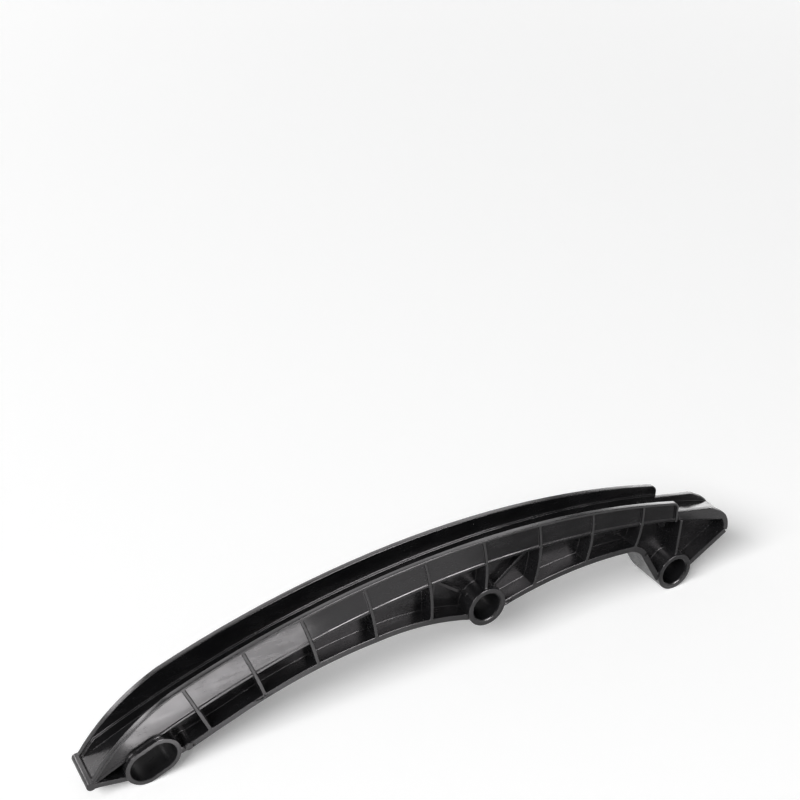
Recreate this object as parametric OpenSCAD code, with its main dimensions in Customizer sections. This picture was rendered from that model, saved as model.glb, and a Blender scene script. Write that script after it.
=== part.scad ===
// Timing chain guide: one moulded plastic rail that a roller chain slides along.
// Millimetres. X runs along the rail, Y across it, Z up. The origin is the middle bore's centre.
// The rail stands on its slotted boss and its end boss, with the chain channel on top.

/* [Chain channel] */
// Width of the chain over its link plates
chain_width = 8.4; // [7.4:0.2:11]
// Side play between the chain and each low lip
chain_gap = 0.4; // [0.2:0.1:0.8]
// Thickness of each tall lip's wall
lip_wall = 1.1; // [0.9:0.1:1.6]
// Thickness of the low lip inside each tall lip
low_lip_wall = 0.9; // [0.6:0.1:1.4]
// Height of the low lips over the floor at the crown
low_lip_height = 2.8; // [2.2:0.1:3.2]
// Thickness of the floor that the chain slides on
floor_thick = 1.4; // [1.2:0.1:2.2]
// Height of the rim over the floor's underside at the crown
band_height = 10.6; // [9:0.2:12]

/* [Rail curve] */
// Radius of the rim, seen from the side
rim_radius = 315; // [300:1:340]
// Height of the rim's crown over the middle bore
rim_height = 27; // [26:0.2:29]
// Radius of the floor's underside
ledge_radius = 327.5; // [315:0.5:345]
// Radius of the low lips' top edge
low_lip_radius = 340; // [330:1:355]
// Radius of the rim where it turns down to the tip
tip_radius = 66; // [60:1:75]
// Distance from the middle bore to the tip
tip_reach = 140.8; // [139.4:0.2:142]
// Distance from the middle bore to the rounded end of the tall lips
lip_reach = 81; // [78:0.5:84]

/* [Mounting bosses] */
// Diameter of the two round bores and width of the slot
bore = 10; // [8:0.5:11]
// Wall of the round bosses
boss_wall = 2.25; // [1.8:0.05:2.8]
// Wall round the slot
slot_wall = 1.65; // [1.4:0.05:2.2]
// Travel of a bolt along the slot
slot_travel = 5.4; // [4:0.2:7]
// Slope of the slot
slot_angle = 21.5; // [16:0.5:26]
// Distance from the middle bore to the slot's centre, along the rail
slot_reach = 119.7; // [118:0.1:121]
// Distance from the middle bore to the end bore, along the rail
end_reach = 81.7; // [80.5:0.1:83]
// Drop from the middle bore to the end bore
end_drop = 14.4; // [13.4:0.1:15]
// How far each boss stands out beyond the ribs
boss_proud = 1; // [0.6:0.1:1.6]
// Chamfer at both ends of the round bores
bore_chamfer = 0.6; // [0.3:0.1:1]

/* [Web, flange and ribs] */
// Thickness of the central web
web_thick = 3; // [2:0.1:4]
// Thickness of the bottom flange
flange_thick = 2.2; // [1.8:0.1:2.6]
// Thickness of the ribs
rib_thick = 1.2; // [1:0.1:1.6]
// Depth of the panels between the ribs on a tall lip's outer side
panel_depth = 0.8; // [0.5:0.1:1.2]
// Height of the rim bead over those panels
rim_bead = 0.9; // [0.7:0.1:1.3]
// Height of the ledge bead under those panels
ledge_bead = 1.1; // [0.8:0.1:1.5]
// Spacing of the ribs along the ledge
rib_pitch = 21.6; // [20.6:0.1:22]
// Spacing of the ribs nearest the slot
rib_pitch_slot = 19.5; // [18.5:0.1:20]

/* [Hidden] */
$fn = 360;
plastic = "#26272a";

// Half widths across the rail, from the channel outwards
low_y = chain_width / 2 + chain_gap;
wall_y = low_y + low_lip_wall;
panel_y = wall_y + lip_wall;
rail_y = panel_y + panel_depth;
boss_y = rail_y + boss_proud;
gusset_y = web_thick / 2 + 0.4 * (rail_y - web_thick / 2);

// A point on a circle, by the angle from straight up
function at(c, r, a) = c + r * [sin(a), cos(a)];

// Rim, with its tip arc running on smoothly from the main arc
rim_c = [-4, rim_height - rim_radius];
tip_turn = -asin(102 / rim_radius);
tip_c = at(rim_c, rim_radius - tip_radius + 0.2, tip_turn);

// Floor, its underside and the low lips
ledge_c = [4, rim_height - band_height - ledge_radius];
floor_r = ledge_radius + floor_thick;
low_c = [5, ledge_c[1] + floor_r + low_lip_height - low_lip_radius];

// Nose at the far end, where the floor hooks down
nose_r = 9.4;
nose_wall = 2.2;
nose_c = [end_reach + 15.7, rim_height - band_height - 19.7];
lead_out = 33;
lead_p = at(nose_c, nose_r, lead_out);

// Low walls past the tall lips: a gentle slope, then a steeper run out over the nose
wall_fall = 11.5;
wall_p = [lip_reach - 1, ledge_c[1] + sqrt(pow(floor_r, 2) - pow(lip_reach - 5, 2)) + 2.1];
wall_run = 17;
wall_end = wall_p + wall_run * [1, -tan(wall_fall)];

// Bosses, with both feet at one level
boss_r = bore / 2 + boss_wall;
slot_r = bore / 2 + slot_wall;
end_c = [end_reach, -end_drop];
slot_half = slot_travel / 2 * [cos(slot_angle), sin(slot_angle)];
slot_c = [-slot_reach, slot_r + slot_half[1] - boss_r - end_drop];

// Bottom flange: a long arch each side of the middle boss
left_top = [-34, 0.9];
left_r = 165;
inner_r = 85;
left_turn = 18.4;
left_c = left_top - [0, left_r];
inner_c = left_top - [0, inner_r - 0.15];
inner_turn = asin((-left_top[0] - 2) / inner_r);
left_foot = at(left_c, left_r, -left_turn);
left_end = slot_c + slot_half + [0.6, -0.4] * slot_r;
right_top = [44, 1.9];
right_r = 140;
right_c = right_top - [0, right_r];
right_start = -asin((right_top[0] - 2) / right_r);

// Hook of the flange down to the end boss
hook_r = 9;
hook_start = 6.5;
hook_turn = 60;
hook_c = at(right_c, right_r - hook_r + 0.1, hook_start);
hook_foot = at(hook_c, hook_r, hook_turn);

// Slanted brace from the end boss up to the nose
brace_turn = 31;
brace_drop = 4.4;
brace_foot = end_c + brace_drop * [sin(brace_turn), -cos(brace_turn)];
brace_dir = [cos(brace_turn), sin(brace_turn)];
brace_run = (nose_c[0] + 8.2 - brace_foot[0]) / brace_dir[0];

// Tip at the slotted end, and the strip that closes the pocket under it
tip_bead = 1.6;
tip_x = tip_bead - tip_reach;
tip_p = [tip_x, ledge_c[1] + sqrt(pow(ledge_radius + floor_thick / 2, 2) - pow(tip_x - ledge_c[0], 2))];
strip_thick = 1.8;
pad_r = 0.75;
stud_r = 1.6;
stud_x = end_reach - 6.2;
stud_p = [stud_x, ledge_c[1] + sqrt(pow(ledge_radius, 2) - pow(stud_x - ledge_c[0], 2)) - 2];
ledge_step = 0.9;
strip_p = slot_c - slot_half + [-1.8, -3.6] * slot_r / 6.65;

// Ribs: stations on the ledge, with an upper and a lower fan of directions that each rib bends between
rib_x = [for (i = [0:8]) (i < 2 ? (i - 2) * rib_pitch_slot : (i - 2) * rib_pitch) - 64.8];
upper_fan = [60, -405];
lower_fan = [-12, -235];

module disc(c, r) translate(c) circle(r);

// A straight bar from a to b
module bar(a, b, t)
    translate(a) rotate(atan2(b[1] - a[1], b[0] - a[0])) translate([0, -t / 2]) square([norm(b - a), t]);

// A strip of thickness t outside an arc, between two angles from straight up
module arc_strip(c, r, t, a0, a1)
    difference() {
        intersection() {
            disc(c, r + t);
            polygon([c, for (a = [a0, (a0 + a1) / 2, a1]) at(c, 2 * (r + t), a)]);
        }
        disc(c, r);
    }

// Side outlines stand up in XZ and are drawn out across the rail
module across(y)
    rotate([90, 0, 0]) linear_extrude(2 * y, center = true) children();
module each_side(y0, y1)
    for (s = [-1, 1]) translate([0, s * (y0 + y1) / 2, 0])
        rotate([90, 0, 0]) linear_extrude(y1 - y0, center = true) children();

// Everything under the rim, drawn in by an inset; the tip arc crosses the main arc at a slight angle
module under_rim(inset)
    intersection() {
        disc(rim_c, rim_radius - inset);
        union() {
            disc(tip_c, tip_radius - inset);
            polygon([rim_c, at(rim_c, 2 * rim_radius, tip_turn), rim_c + [0, 900], rim_c + [700, 900]]);
        }
    }

// Outline of a tall lip, with its rounded end, drawn in by an inset
module tall_lip_2d(inset) {
    r = 3 - inset;
    x = lip_reach - inset - r;
    c = [x, rim_c[1] + sqrt(pow(rim_radius - inset - r + 0.05, 2) - pow(x - rim_c[0], 2))];
    lean = atan2(c[0] - rim_c[0], c[1] - rim_c[1]);
    difference() {
        intersection() {
            under_rim(inset);
            union() {
                translate([tip_x, -60]) square([c[0] + r * sin(lean) - tip_x, 120]);
                disc(c, r);
                translate([c[0], -60]) square([0.99 * r, 60 + c[1]]);
            }
        }
        disc(ledge_c, ledge_radius);
    }
}

// Limits of the floor and low lips: the tip, and the slopes that run out over the nose
module rail_ends()
    union() {
        disc(nose_c, nose_r);
        polygon([
            [tip_x, -60],
            [lead_p[0], -60],
            lead_p - [0, 0.1],
            wall_end + 1.4 * [1, -tan((wall_fall + lead_out) / 2)],
            wall_end,
            wall_p,
            [wall_p[0], 60],
            [tip_x, 60]
        ]);
    }

module floor_2d()
    intersection() {
        rail_ends();
        difference() {
            disc(ledge_c, floor_r);
            disc(ledge_c, ledge_radius);
        }
    }

// Low lips run inside the tall lips and on past their ends
module low_lip_2d()
    difference() {
        intersection() {
            rail_ends();
            disc(low_c, low_lip_radius);
            under_rim(0.6);
        }
        disc(ledge_c, ledge_radius);
    }

// The floor's end hooks down behind the nose
module nose_2d()
    intersection() {
        arc_strip(nose_c, nose_r - nose_wall, nose_wall, 40, 100);
        disc(ledge_c, floor_r);
    }

// The space under the flange, grown by t. Neighbouring arcs cross at a slight angle.
module under_flange(t)
    union() {
        translate(left_foot - [0, 0.15]) rotate(left_turn) translate([-60, -60]) square([60, 60 + t]);
        intersection() {
            disc(left_c, left_r + t);
            translate([-200, -80]) square([200 + left_top[0], 120]);
        }
        disc(inner_c, inner_r + t);
        intersection() {
            disc(right_c, right_r + t);
            union() {
                translate([-100, -80]) square([100 + right_c[0] + right_r * sin(hook_start), 120]);
                disc(hook_c, hook_r + t);
                intersection() {
                    translate(hook_foot) rotate(-hook_turn) translate([-60, -60]) square([120, 59.9 + t]);
                    translate([0, -80]) square([200, 80.5 + hook_foot[1]]);
                }
            }
        }
    }

module flange_2d() {
    intersection() {
        difference() {
            under_flange(flange_thick);
            under_flange(0);
        }
        polygon([left_end, [left_end[0], 30], [end_c[0], 30], [end_c[0] - 2, end_c[1] - 3], [45, -10]]);
    }
    bar(tip_p, strip_p, strip_thick);
    translate(brace_foot) rotate(brace_turn) translate([4, 0]) square([brace_run - 4, flange_thick]);
}

// The web fills everything between the floor and the middle of the flange
module web_2d() {
    m = flange_thick / 2;
    n = 6;
    intersection() {
        disc(ledge_c, ledge_radius + floor_thick / 2);
        polygon([
            tip_p,
            strip_p,
            slot_c - slot_half,
            slot_c + slot_half,
            left_end,
            for (i = [0:n]) at(left_c, left_r + m, left_turn * (i / n - 1)),
            for (i = [1:n]) at(inner_c, inner_r + m, inner_turn * i / n),
            for (i = [0:n]) at(right_c, right_r + m, right_start + (hook_start - right_start) * i / n),
            for (i = [1:n]) at(hook_c, hook_r + m, hook_start + (hook_turn - hook_start) * i / n),
            hook_foot + 12 * [cos(hook_turn), -sin(hook_turn)] + m * [sin(hook_turn), cos(hook_turn)],
            end_c,
            brace_foot + 5 * brace_dir + m * [-brace_dir[1], brace_dir[0]],
            brace_foot + (brace_run - 1) * brace_dir + m * [-brace_dir[1], brace_dir[0]],
            for (a = [92, 70, 45, 20]) at(nose_c, nose_r - nose_wall / 2, a),
            [nose_c[0], 60],
            [tip_p[0], 60]
        ]);
    }
}

// Side points of a rib through p: it leans by a0 at p and bends by k for each millimetre up
function lean(p, fan) = atan2(p[1] - fan[1], p[0] - fan[0]);
function along(a) = [cos(a), sin(a)];
function rib_side(p, a0, k, off) =
    [for (u = [-22:2:16]) p + u * along(a0 + k * u / 2) + off * along(a0 + k * u + 90)];

module ribs_2d(t)
    for (x = rib_x) {
        p = [x, ledge_c[1] + sqrt(pow(ledge_radius, 2) - pow(x - ledge_c[0], 2))];
        k = (lean(p, upper_fan) - lean(p, lower_fan)) / 11.2;
        a0 = lean(p, lower_fan) + 7 * k;
        left = rib_side(p, a0, k, t / 2);
        right = rib_side(p, a0, k, -t / 2);
        polygon([for (q = left) q, for (i = [len(right) - 1:-1:0]) right[i]]);
    }

module upper_ribs_2d()
    intersection() {
        ribs_2d(rib_thick - 0.2);
        tall_lip_2d(0);
    }

module lower_ribs_2d()
    intersection() {
        union() {
            ribs_2d(rib_thick);
            bar(end_c, end_c + [1.7, 26], rib_thick);
        }
        web_2d();
    }

// Short braces spread from the middle boss to the floor, on the web
module gussets_2d()
    intersection() {
        union() {
            for (s = [-1, 1]) bar([0, 0], 30 * [s * sin(52), cos(52)], rib_thick);
            bar([-18.6, 7.9], [-18, 17], rib_thick);
        }
        web_2d();
    }

// A step under the ledge, set back from the panels
module step_2d()
    difference() {
        web_2d();
        disc(ledge_c, ledge_radius - ledge_step);
    }

// Small round pads on the flange's edge, the largest near the slot
module pads_2d() {
    m = flange_thick / 2;
    disc(at(left_c, left_r + m, -left_turn) - 22.6 * along(left_turn), 2 * pad_r);
    disc(at(left_c, left_r + m, -16.6), pad_r);
    disc(at(right_c, right_r + m, -14.1), pad_r);
}

module slot_2d(r)
    union() {
        bar(slot_c - slot_half, slot_c + slot_half, 2 * r * cos(4));
        disc(slot_c - slot_half, r);
        disc(slot_c + slot_half, r);
    }

module round_2d(r)
    for (c = [[0, 0], end_c]) disc(c, r);

module guide_rail()
    color(plastic) difference() {
        union() {
            across(panel_y) floor_2d();
            across(rail_y) disc(tip_p, tip_bead);
            each_side(wall_y, panel_y) tall_lip_2d(0);
            each_side(low_y, panel_y) low_lip_2d();
            each_side(panel_y - 0.2, rail_y) difference() {
                tall_lip_2d(0);
                tall_lip_2d(rim_bead);
            }
            each_side(panel_y - 0.2, panel_y + 0.3) intersection() {
                tall_lip_2d(0);
                disc(ledge_c, ledge_radius + ledge_bead);
            }
            each_side(panel_y - 0.2, rail_y) upper_ribs_2d();
            each_side(web_thick / 2 - 0.2, rail_y) lower_ribs_2d();
            each_side(web_thick / 2 - 0.2, gusset_y) gussets_2d();
            across(web_thick / 2) web_2d();
            across(panel_y - 0.9) step_2d();
            across(rail_y + 0.35) pads_2d();
            for (s = [-1, 1]) translate([stud_p[0], s * (panel_y - stud_r), stud_p[1]])
                cylinder(h = 2.6, r = stud_r);
            across(rail_y) flange_2d();
            across(panel_y) nose_2d();
            across(boss_y) slot_2d(slot_r);
            across(boss_y) round_2d(boss_r);
        }
        across(boss_y + 1) slot_2d(bore / 2);
        for (c = [[0, 0], end_c]) translate([c[0], 0, c[1]]) rotate([90, 0, 0]) {
            cylinder(h = 2 * boss_y + 2, d = bore, center = true);
            for (s = [-1, 1]) rotate([s > 0 ? 0 : 180, 0, 0]) translate([0, 0, boss_y - bore_chamfer])
                cylinder(h = bore_chamfer + 1, d1 = bore, d2 = bore + 2 * bore_chamfer + 2);
        }
    }

guide_rail();
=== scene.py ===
import math

import bpy
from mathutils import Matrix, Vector


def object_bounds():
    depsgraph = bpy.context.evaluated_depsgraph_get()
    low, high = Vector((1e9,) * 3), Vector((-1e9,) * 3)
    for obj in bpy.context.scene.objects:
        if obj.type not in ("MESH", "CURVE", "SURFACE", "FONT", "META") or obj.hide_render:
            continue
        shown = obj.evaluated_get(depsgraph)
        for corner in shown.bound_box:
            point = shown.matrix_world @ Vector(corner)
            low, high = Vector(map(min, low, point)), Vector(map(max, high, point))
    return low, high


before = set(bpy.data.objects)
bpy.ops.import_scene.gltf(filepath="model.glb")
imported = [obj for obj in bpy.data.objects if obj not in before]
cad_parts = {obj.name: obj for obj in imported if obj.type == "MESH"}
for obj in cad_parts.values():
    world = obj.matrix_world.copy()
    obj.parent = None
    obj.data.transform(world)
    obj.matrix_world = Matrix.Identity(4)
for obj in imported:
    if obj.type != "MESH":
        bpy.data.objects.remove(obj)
cad_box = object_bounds()

# Guide rail: one injection moulding in black glass-filled nylon, which the timing chain slides along.
# It comes out of the mould with softly broken edges, a fine satin grain and faint flow streaks.
# Three bolts through its bosses hold it to the engine block.
MM = 0.001
SEAM_GAP = 0.002 * MM
BROKEN_EDGE = 0.22 * MM
SHARP_FROM = math.radians(32)
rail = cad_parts["guide_rail"]

skin = rail.modifiers.new("joined_skin", "WELD")
skin.merge_threshold = SEAM_GAP
edges = rail.modifiers.new("broken_edges", "BEVEL")
edges.limit_method = "ANGLE"
edges.angle_limit = SHARP_FROM
edges.width = BROKEN_EDGE
edges.segments = 2
edges.use_clamp_overlap = False
edges.miter_outer = "MITER_ARC"
flats = rail.modifiers.new("true_flats", "WEIGHTED_NORMAL")
flats.mode = "FACE_AREA"
flats.weight = 100
flats.keep_sharp = True
rail.data.shade_smooth()


def effect(name, inputs, outputs):
    """A shader node group with number inputs of those defaults, and number outputs."""
    group = bpy.data.node_groups.new(name, "ShaderNodeTree")
    for label, value in inputs.items():
        socket = group.interface.new_socket(label, in_out="INPUT", socket_type="NodeSocketFloat")
        socket.default_value = value
    for label in outputs:
        group.interface.new_socket(label, in_out="OUTPUT", socket_type="NodeSocketFloat")
    return group, group.nodes.new("NodeGroupInput"), group.nodes.new("NodeGroupOutput")


def stretched(group, stretch):
    """The rail's own coordinates, with a pattern's scale along X, Y and Z."""
    place = group.nodes.new("ShaderNodeTexCoord")
    pull = group.nodes.new("ShaderNodeMapping")
    pull.inputs["Scale"].default_value = stretch
    group.links.new(place.outputs["Object"], pull.inputs["Vector"])
    return pull.outputs["Vector"]


def noise(group, vector, scale, detail, roughness):
    """A cloudy pattern; scale is a number or another node's output."""
    cloud = group.nodes.new("ShaderNodeTexNoise")
    cloud.inputs["Detail"].default_value = detail
    cloud.inputs["Roughness"].default_value = roughness
    group.links.new(vector, cloud.inputs["Vector"])
    if isinstance(scale, float):
        cloud.inputs["Scale"].default_value = scale
    else:
        group.links.new(scale, cloud.inputs["Scale"])
    return cloud.outputs["Fac"]


def ramp(group, value, low, high, to_low=0.0, to_high=1.0):
    """Values from low to high spread smoothly over to_low to to_high."""
    spread = group.nodes.new("ShaderNodeMapRange")
    spread.interpolation_type = "SMOOTHSTEP"
    ends = {"From Min": low, "From Max": high, "To Min": to_low, "To Max": to_high}
    for label, number in ends.items():
        spread.inputs[label].default_value = number
    group.links.new(value, spread.inputs["Value"])
    return spread.outputs["Result"]


def combine(group, kind, *values):
    """One or two values or numbers through a Math node."""
    node = group.nodes.new("ShaderNodeMath")
    node.operation = kind
    for index, value in enumerate(values):
        if isinstance(value, float):
            node.inputs[index].default_value = value
        else:
            group.links.new(value, node.inputs[index])
    return node.outputs["Value"]


# Satin grain of the mould's steel: fine pits for bump, and broad duller and shinier patches.
EVEN = (1.0, 1.0, 1.0)
satin_grain, given, result = effect(
    "satin_grain", {"Pits": 2200.0, "Patches": 70.0}, ["Height", "Patch"]
)
even = stretched(satin_grain, EVEN)
pits = noise(satin_grain, even, given.outputs["Pits"], detail=2.0, roughness=0.5)
patches = noise(satin_grain, even, given.outputs["Patches"], detail=6.0, roughness=0.62)
satin_grain.links.new(pits, result.inputs["Height"])
satin_grain.links.new(patches, result.inputs["Patch"])

# Flow of the melt along the rail: long soft waves that bend the reflections, and finer streaks
# in the gloss.
ROLLING = (0.6, 1.0, 1.0)
DRAWN_OUT = (0.16, 1.0, 1.0)
flow_streaks, given, result = effect(
    "flow_streaks", {"Waves": 60.0, "Streaks": 420.0}, ["Wave", "Streak"]
)
rolling = stretched(flow_streaks, ROLLING)
drawn_out = stretched(flow_streaks, DRAWN_OUT)
waves = noise(flow_streaks, rolling, given.outputs["Waves"], detail=1.0, roughness=0.4)
streaks = noise(flow_streaks, drawn_out, given.outputs["Streaks"], detail=4.0, roughness=0.6)
flow_streaks.links.new(waves, result.inputs["Wave"])
flow_streaks.links.new(streaks, result.inputs["Streak"])

# Marks of handling: hairline scuffs in some places, and a few grains of dust.
HAIRLINE = (0.05, 1.0, 1.0)
SCUFF_LINES = (0.66, 0.74)
SCUFFED_PLACES = 55.0
SCUFFED_SHARE = (0.5, 0.66)
DUSTY_SHARE = (0.95, 0.97)
DUST_SIZE = (0.05, 0.11)
handling_marks, given, result = effect(
    "handling_marks", {"Scuffs": 900.0, "Dust": 420.0}, ["Scuff", "Dust"]
)
hairline = stretched(handling_marks, HAIRLINE)
even = stretched(handling_marks, EVEN)
scuffs = noise(handling_marks, hairline, given.outputs["Scuffs"], detail=3.0, roughness=0.55)
places = noise(handling_marks, even, SCUFFED_PLACES, detail=3.0, roughness=0.5)
scuffs = ramp(handling_marks, scuffs, *SCUFF_LINES)
places = ramp(handling_marks, places, *SCUFFED_SHARE)
scuffs = combine(handling_marks, "MULTIPLY", scuffs, places)
handling_marks.links.new(scuffs, result.inputs["Scuff"])
cells = handling_marks.nodes.new("ShaderNodeTexVoronoi")
handling_marks.links.new(even, cells.inputs["Vector"])
handling_marks.links.new(given.outputs["Dust"], cells.inputs["Scale"])
draw = handling_marks.nodes.new("ShaderNodeSeparateColor")
handling_marks.links.new(cells.outputs["Color"], draw.inputs["Color"])
few_cells = ramp(handling_marks, draw.outputs["Red"], *DUSTY_SHARE)
dust = ramp(handling_marks, cells.outputs["Distance"], *DUST_SIZE, 1.0, 0.0)
dust = combine(handling_marks, "MULTIPLY", few_cells, dust)
handling_marks.links.new(dust, result.inputs["Dust"])

nylon = bpy.data.materials.new("black_nylon")
nylon.use_nodes = True
tree = nylon.node_tree
shader = tree.nodes["Principled BSDF"]
shader.inputs["IOR"].default_value = 1.5
shader.inputs["Specular Tint"].default_value = (1.0, 0.96, 0.985, 1.0)


def placed(group):
    """One of the effects, placed in the nylon."""
    node = tree.nodes.new("ShaderNodeGroup")
    node.node_tree = group
    return node.outputs


grain = placed(satin_grain)
flow = placed(flow_streaks)
marks = placed(handling_marks)

# The outermost faces, on ribs, rims, flange and bosses, come from the mould's split and are duller.
SPLIT_DEPTH = (6.95 * MM, 7.3 * MM)
FACING_OUT = (0.86, 0.98)
spot = tree.nodes.new("ShaderNodeTexCoord")
sides = tree.nodes.new("ShaderNodeSeparateXYZ")
tree.links.new(spot.outputs["Object"], sides.inputs["Vector"])
outward = combine(tree, "ABSOLUTE", sides.outputs["Y"])
surface = tree.nodes.new("ShaderNodeNewGeometry")
turned = tree.nodes.new("ShaderNodeSeparateXYZ")
tree.links.new(surface.outputs["Normal"], turned.inputs["Vector"])
flatness = ramp(tree, combine(tree, "ABSOLUTE", turned.outputs["Y"]), *FACING_OUT)
split_face = combine(tree, "MULTIPLY", ramp(tree, outward, *SPLIT_DEPTH), flatness)

# Core pins shape the middle bore, the end bore and the slot. Their walls are a little duller and far
# less shiny, which paints shade inside them.
# Three points along the slot's middle line stand for it.
BORE_CENTRES = ((0.0, 0.0), (81.7, -14.4))
SLOT_POINTS = ((-122.2, -15.0), (-119.7, -14.0), (-117.2, -13.0))
BORE_WALL = (5.1 * MM, 5.4 * MM)
FAR_OFF = 1.0
OUTER_SHINE = 0.46
BORE_PAINTED_SHADE_SHINE = 0.06
profile = tree.nodes.new("ShaderNodeCombineXYZ")
tree.links.new(sides.outputs["X"], profile.inputs["X"])
tree.links.new(sides.outputs["Z"], profile.inputs["Z"])
nearest = FAR_OFF
for along, up in BORE_CENTRES + SLOT_POINTS:
    gap = tree.nodes.new("ShaderNodeVectorMath")
    gap.operation = "DISTANCE"
    gap.inputs[1].default_value = (along * MM, 0.0, up * MM)
    tree.links.new(profile.outputs["Vector"], gap.inputs[0])
    nearest = combine(tree, "MINIMUM", gap.outputs["Value"], nearest)
bore_wall = ramp(tree, nearest, *BORE_WALL, 1.0, 0.0)
# Far less shine on the bore walls: painted shade that keeps the bores and the slot dark inside.
shine_with_painted_bore_shade = ramp(tree, bore_wall, 0.0, 1.0, OUTER_SHINE, BORE_PAINTED_SHADE_SHINE)
tree.links.new(shine_with_painted_bore_shade, shader.inputs["Specular IOR Level"])

# Edges that rub in handling turn a little greyer.
EDGE_CURVE = (0.53, 0.62)
rubbed = ramp(tree, surface.outputs["Pointiness"], *EDGE_CURVE)
rubbed = combine(tree, "MULTIPLY", rubbed, grain["Patch"])


def blend(first, second, factor):
    """One colour into another by a varying factor."""
    mix = tree.nodes.new("ShaderNodeMix")
    mix.data_type = "RGBA"
    for label, tone in (("A", first), ("B", second)):
        if isinstance(tone, tuple):
            mix.inputs[label].default_value = tone
        else:
            tree.links.new(tone, mix.inputs[label])
    tree.links.new(factor, mix.inputs["Factor"])
    return mix.outputs["Result"]


DEEP_BLACK = (0.004, 0.004, 0.0045, 1.0)
SOFT_BLACK = (0.009, 0.009, 0.0095, 1.0)
SPLIT_GREY = (0.022, 0.022, 0.0225, 1.0)
RUBBED_GREY = (0.035, 0.035, 0.036, 1.0)
SCUFF_GREY = (0.022, 0.022, 0.023, 1.0)
DUST_GREY = (0.16, 0.155, 0.15, 1.0)
colour = blend(DEEP_BLACK, SOFT_BLACK, grain["Patch"])
colour = blend(colour, SPLIT_GREY, split_face)
colour = blend(colour, RUBBED_GREY, rubbed)
colour = blend(colour, SCUFF_GREY, marks["Scuff"])
colour = blend(colour, DUST_GREY, marks["Dust"])
tree.links.new(colour, shader.inputs["Base Color"])

PATCH_SPAN = (0.3, 0.7)
PATCH_GLOSS = (0.17, 0.27)
STREAK_SPAN = (0.35, 0.7)
STREAK_GLOSS = (0.0, 0.07)
DULLER = ((split_face, 0.26), (bore_wall, 0.06), (marks["Scuff"], 0.15), (marks["Dust"], 0.4))
gloss = ramp(tree, grain["Patch"], *PATCH_SPAN, *PATCH_GLOSS)
streaked = ramp(tree, flow["Streak"], *STREAK_SPAN, *STREAK_GLOSS)
gloss = combine(tree, "ADD", gloss, streaked)
for mask, amount in DULLER:
    gloss = combine(tree, "ADD", gloss, combine(tree, "MULTIPLY", mask, amount))
tree.links.new(gloss, shader.inputs["Roughness"])

WAVE_DEPTH = 1.2 * MM
PIT_DEPTH = 0.02 * MM
waviness = tree.nodes.new("ShaderNodeBump")
waviness.inputs["Strength"].default_value = 0.5
waviness.inputs["Distance"].default_value = WAVE_DEPTH
tree.links.new(flow["Wave"], waviness.inputs["Height"])
pitting = tree.nodes.new("ShaderNodeBump")
pitting.inputs["Strength"].default_value = 0.2
pitting.inputs["Distance"].default_value = PIT_DEPTH
tree.links.new(grain["Height"], pitting.inputs["Height"])
tree.links.new(waviness.outputs["Normal"], pitting.inputs["Normal"])
tree.links.new(pitting.outputs["Normal"], shader.inputs["Normal"])
rail.data.materials.clear()
rail.data.materials.append(nylon)

# Studio floor: plain white paper that the rail stands on and that takes its soft shadow, with a round
# wall of the same paper far off. The paper that is seen or mirrored glows a little, more so farther
# from the rail, so that it stays an even white without more light on the rail.
FLOOR_Z = cad_box[0][2]
UNDER_RAIL = 0.02 * MM
WALL_REACH = 6.0
WALL_HEIGHT = 1.3
FLOOR_SIDE = 2.2 * WALL_REACH
PAPER_WHITE = (0.95, 0.95, 0.95, 1.0)
GLOW_REACH = (0.1, 3.0)
PAPER_GLOW = (0.16, 0.68)
bpy.ops.mesh.primitive_plane_add(size=FLOOR_SIDE, location=(0.0, 0.0, FLOOR_Z - UNDER_RAIL))
floor = bpy.context.object
floor.name = "studio_floor"
bpy.ops.mesh.primitive_cylinder_add(
    vertices=96,
    radius=WALL_REACH,
    depth=WALL_HEIGHT,
    end_fill_type="NOTHING",
    location=(0.0, 0.0, FLOOR_Z + WALL_HEIGHT / 2),
)
wall = bpy.context.object
wall.name = "studio_wall"

paper = bpy.data.materials.new("white_paper")
paper.use_nodes = True
sheet_tree = paper.node_tree
paper_shader = sheet_tree.nodes["Principled BSDF"]
paper_shader.inputs["Base Color"].default_value = PAPER_WHITE
paper_shader.inputs["Roughness"].default_value = 0.9
paper_shader.inputs["Specular IOR Level"].default_value = 0.1
paper_shader.inputs["Emission Color"].default_value = (1.0, 1.0, 1.0, 1.0)
seen = sheet_tree.nodes.new("ShaderNodeLightPath").outputs
shown = combine(sheet_tree, "MAXIMUM", seen["Is Camera Ray"], seen["Is Glossy Ray"])
shown = combine(sheet_tree, "MAXIMUM", shown, seen["Is Transmission Ray"])
away = sheet_tree.nodes.new("ShaderNodeTexCoord")
reach = sheet_tree.nodes.new("ShaderNodeVectorMath")
reach.operation = "LENGTH"
sheet_tree.links.new(away.outputs["Object"], reach.inputs[0])
glow = ramp(sheet_tree, reach.outputs["Value"], *GLOW_REACH, *PAPER_GLOW)
glow = combine(sheet_tree, "MULTIPLY", shown, glow)
sheet_tree.links.new(glow, paper_shader.inputs["Emission Strength"])
for sheet in (floor, wall):
    sheet.data.materials.append(paper)

# Studio light: an even white surround, and a softbox over the camera's left shoulder. White panels
# round the set show only as reflections, in the rail's upward faces and edges. So do a white card
# and two dark flags on the floor in front, which lighten and darken the two ends of its side.
SURROUND_LEVEL = 0.17
PANEL_DISTANCE = 1.6
KEY_DISTANCE = 5.0
world = bpy.data.worlds.new("white_surround")
bpy.context.scene.world = world
world.use_nodes = True
surround = world.node_tree.nodes["Background"]
surround.inputs["Color"].default_value = (1.0, 1.0, 1.0, 1.0)
surround.inputs["Strength"].default_value = SURROUND_LEVEL


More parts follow.
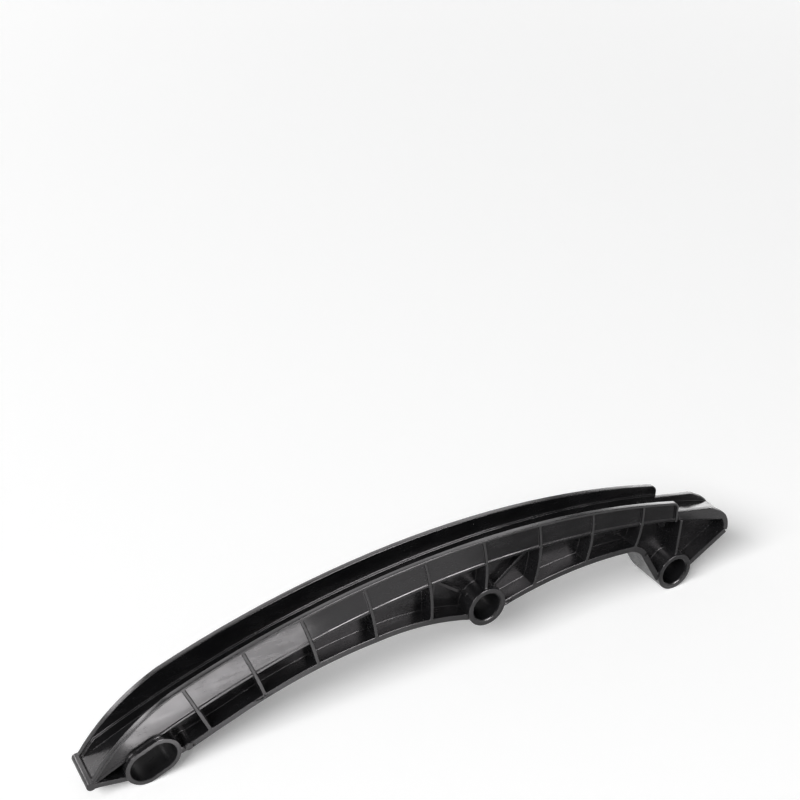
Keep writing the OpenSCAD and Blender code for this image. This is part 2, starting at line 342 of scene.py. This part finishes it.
def softbox(name, place, facing, width, height, radiance):
    """A white rectangle of light, of that brightness, that the camera doesn't see."""
    light = bpy.data.lights.new(name, "AREA")
    light.shape = "RECTANGLE"
    light.size = width
    light.size_y = height
    light.energy = radiance * math.pi * width * height
    lamp = bpy.data.objects.new(name, light)
    bpy.context.scene.collection.objects.link(lamp)
    lamp.location = place
    lamp.rotation_euler = facing
    lamp.visible_camera = False
    return lamp


def panel(name, azimuth, elevation, across, up, radiance, distance=PANEL_DISTANCE):
    """A softbox that faces the rail, by its direction from +Y towards +X and its half spread,
    all in degrees."""
    turn, rise = math.radians(azimuth), math.radians(elevation)
    level = math.cos(rise)
    place = distance * Vector((math.sin(turn) * level, math.cos(turn) * level, math.sin(rise)))
    facing = place.to_track_quat("Z", "Y").to_euler()
    width, height = (2 * distance * math.tan(math.radians(half)) for half in (across, up))
    return softbox(name, place, facing, width, height, radiance)


# Each panel's numbers are its azimuth, elevation, half spread across and up, and brightness.
panel("key_softbox", -116, 38, 20, 12, 12.5, distance=KEY_DISTANCE)
CARD_Z = FLOOR_Z + 0.5 * MM
CARD_PLACE = (-0.0857, -0.0398, CARD_Z)
CARD_FACING = (math.pi, 0.0, math.radians(-16))
CARD_LENGTH = 0.078
CARD_WIDTH = 0.0126
reflected = [
    panel("back_panel", 8, 31, 30, 16, 2.6),
    panel("left_panel", -39, 22, 7, 7, 8.5),
    panel("right_panel", 53, 10, 8, 7, 4.4),
    panel("front_panel", 161, 47, 14, 18, 24.0),
    softbox("low_card", CARD_PLACE, CARD_FACING, CARD_LENGTH, CARD_WIDTH, 9.8),
]
for lamp in reflected:
    lamp.visible_diffuse = False

for name, centre, spread, grey in (
    ("far_flag", (0.0745, -0.055), (0.087, 0.042), 0.22),
    ("near_flag", (0.053, -0.023), (0.13, 0.022), 0.04),
):
    bpy.ops.mesh.primitive_plane_add(size=1.0, location=(*centre, CARD_Z))
    flag = bpy.context.object
    flag.name = name
    flag.scale = (*spread, 1.0)
    felt = bpy.data.materials.new(name + "_felt")
    felt.use_nodes = True
    felt_shader = felt.node_tree.nodes["Principled BSDF"]
    felt_shader.inputs["Base Color"].default_value = (grey, grey, grey, 1.0)
    felt_shader.inputs["Roughness"].default_value = 1.0
    flag.data.materials.append(felt)
    flag.visible_camera = False
    flag.visible_diffuse = False
    flag.visible_shadow = False
    flag.visible_transmission = False

# Camera: a short telephoto from the front left, a little above the rail. It stands level, looks
# down by less than 30 degrees from the side of the slot, and has no shift and no depth of field.
PITCH_DOWN = 0.507
TURN_RIGHT = 0.510
view = bpy.data.cameras.new("camera")
view.lens = 62.97
view.sensor_width = 36.0
camera = bpy.data.objects.new("camera", view)
bpy.context.scene.collection.objects.link(camera)
camera.location = (-0.210151, -0.323798, 0.289745)
camera.rotation_euler = (math.pi / 2 - PITCH_DOWN, 0.0, -TURN_RIGHT)
bpy.context.scene.camera = camera
bpy.context.scene.view_settings.view_transform = "Standard"
